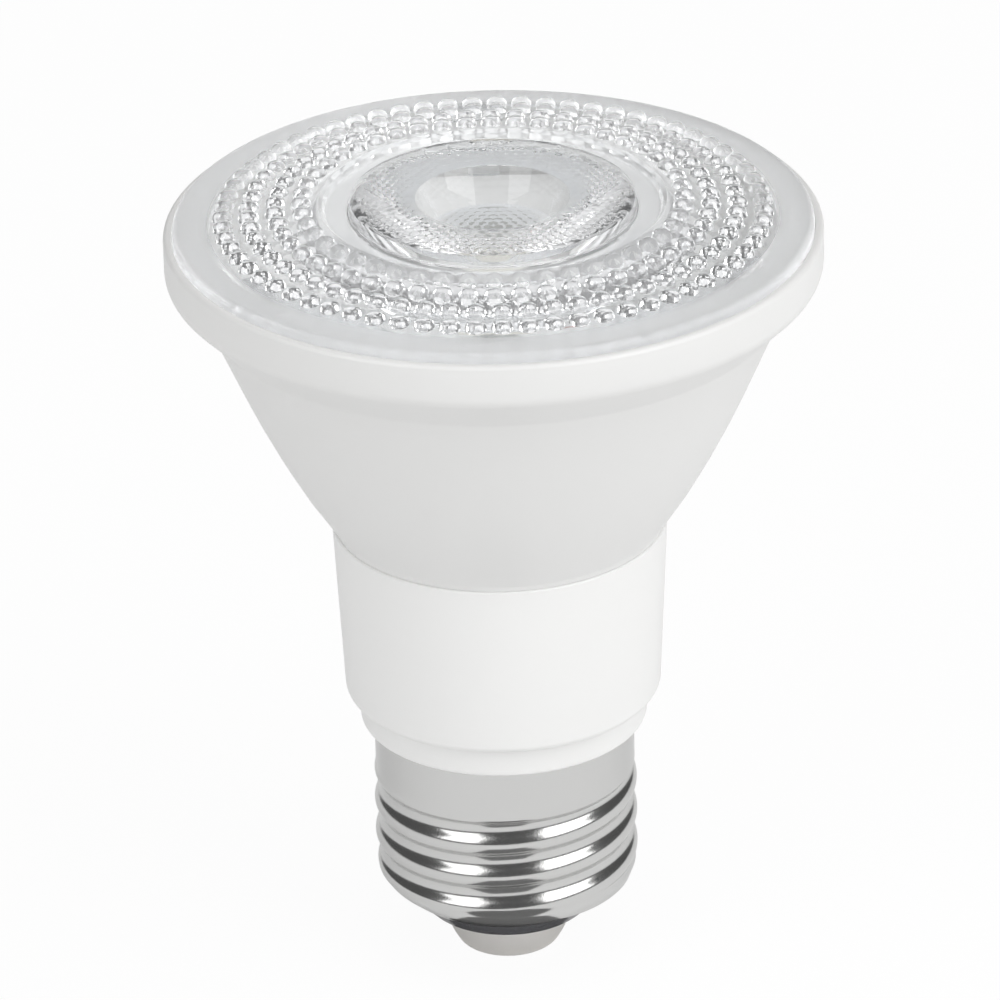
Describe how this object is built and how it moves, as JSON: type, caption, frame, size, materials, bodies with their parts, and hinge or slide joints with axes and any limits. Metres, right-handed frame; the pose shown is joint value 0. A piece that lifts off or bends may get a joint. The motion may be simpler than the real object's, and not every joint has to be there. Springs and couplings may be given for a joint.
{
  "type": "par spotlight bulb",
  "caption": "Reflector spotlight bulb with a screw base, white conical housing and beaded clear front lens.",
  "frame": {"origin": "centre of the flat end of the centre contact", "axes": "+Z along the lamp's axis, from the screw base towards the front lens"},
  "size_m": [0.0636, 0.0636, 0.0822],
  "materials": {
    "white_plastic": "satin",
    "clear_plastic": "polished",
    "plated_metal": "polished",
    "contact_metal": "satin",
    "black_insulator": "satin",
    "bare_aluminium": "satin",
    "white_board": "satin",
    "phosphor": "matte",
    "package_ceramic": "satin",
    "green_board": "satin",
    "black_component": "satin",
    "capacitor_can": "satin",
    "film_yellow": "satin",
    "copper_winding": "satin",
    "blue_epoxy": "satin",
    "resistor_sleeve": "matte",
    "red_wire": "satin",
    "black_wire": "satin",
    "white_wire": "satin",
    "screw_steel": "satin"
  },
  "bodies": {
    "root": {"centre_contact": "contact_metal", "base_insulator": "black_insulator", "screw_shell": "plated_metal", "neck_housing": "white_plastic", "reflector_housing": "white_plastic", "front_lens": "clear_plastic", "heat_sink": "bare_aluminium", "led_board": "white_board", "led_package": "package_ceramic", "led_phosphor": "phosphor", "board_screws": "screw_steel", "driver_board": "green_board", "bridge_rectifier": "black_component", "controller_chip": "black_component", "output_diode": "black_component", "electrolytic_capacitor": "capacitor_can", "film_capacitor": "film_yellow", "inductor_core": "black_component", "inductor_winding": "copper_winding", "varistor": "blue_epoxy", "fuse_resistor": "resistor_sleeve", "ac_line_wire": "black_wire", "ac_neutral_wire": "white_wire", "dc_positive_wire": "red_wire", "dc_negative_wire": "black_wire"}
  },
  "joints": []
}
